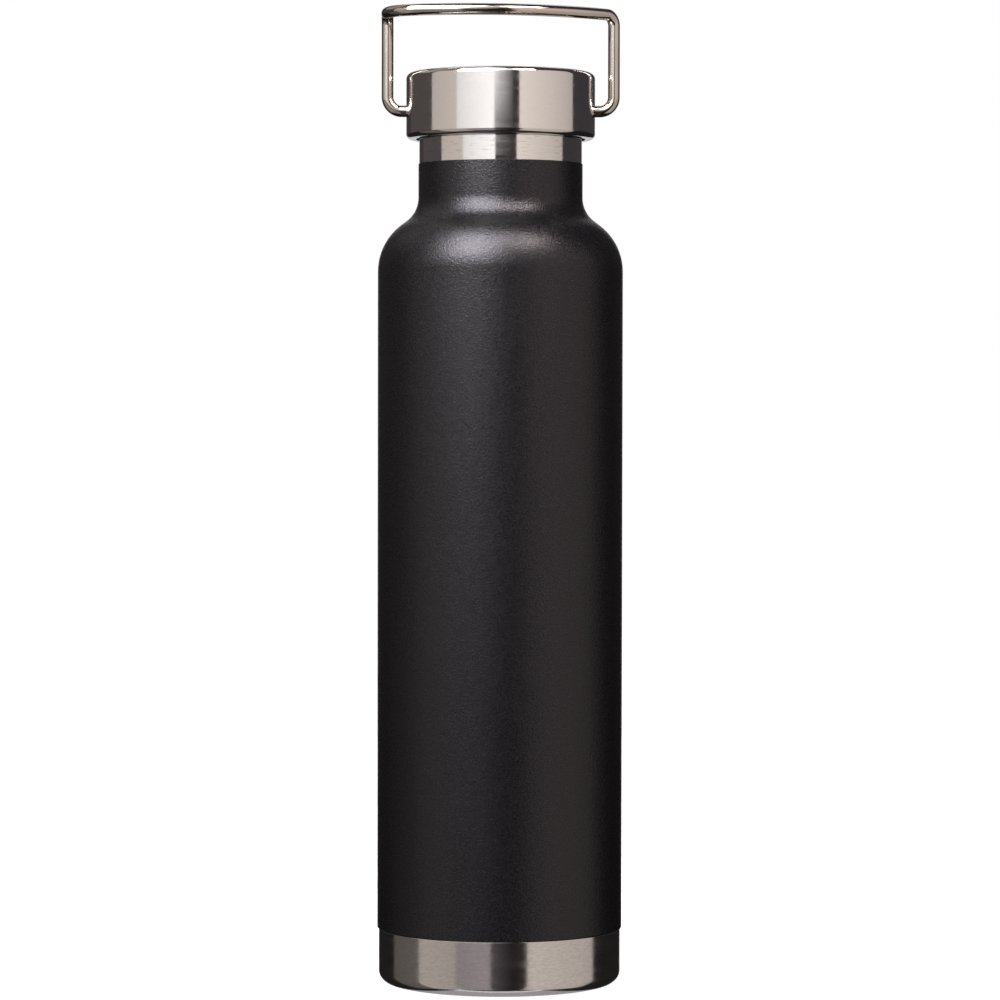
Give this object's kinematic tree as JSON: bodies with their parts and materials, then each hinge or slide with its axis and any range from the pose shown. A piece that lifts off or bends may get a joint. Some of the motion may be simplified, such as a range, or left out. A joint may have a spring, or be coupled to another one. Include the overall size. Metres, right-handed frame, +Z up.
{
  "type": "insulated water bottle",
  "caption": "Slim double-wall vacuum bottle with a coated body, bare steel neck and base band, a steel-clad screw lid and a wire carrying handle that folds down.",
  "frame": {"origin": "centre of the base, on the surface the bottle stands on", "axes": "+Z up the bottle's axis, X along the handle's pivot axis, -Y the front, towards which the handle's bar bows"},
  "size_m": [0.073, 0.073, 0.29],
  "materials": {
    "powder_coat": "satin",
    "polished_steel": "polished",
    "flask_steel": "satin",
    "wire_steel": "polished",
    "copper_foil": "satin",
    "getter_metal": "matte",
    "solder_glass": "gloss",
    "silicone": "matte",
    "lid_plastic": "matte",
    "foam": "matte"
  },
  "bodies": {
    "flask": {"powder_coat": "powder_coat", "outer_wall": "polished_steel", "base_cup": "polished_steel", "outer_bottom": "flask_steel", "vacuum_seal": "solder_glass", "inner_wall": "flask_steel", "inner_bottom": "flask_steel", "copper_shield": "copper_foil", "getter": "getter_metal"},
    "seal": {"lid_gasket": "silicone"},
    "lid": {"lid_shell": "polished_steel", "lid_core": "lid_plastic", "lid_insulation": "foam", "plug_cap": "lid_plastic"},
    "handle": {"handle_wire": "wire_steel"}
  },
  "joints": [
    {"name": "lid_lift", "type": "slide", "parent": "flask", "child": "seal", "axis": [0, 0, 1], "range_m": [0, 0.0201]},
    {"name": "lid_turn", "type": "hinge", "parent": "seal", "child": "lid", "pos_m": [0, 0, 0.2597], "axis": [0, 0, 1], "range_deg": [0, 1440]},
    {"name": "handle_swing", "type": "hinge", "parent": "lid", "child": "handle", "pos_m": [0, 0, 0.2597], "axis": [1, 0, 0], "range_deg": [-156, 95]}
  ],
  "couplings": [
    {"joint": "lid_lift", "follows": "lid_turn", "m_per_rad": 0.00079577}
  ]
}
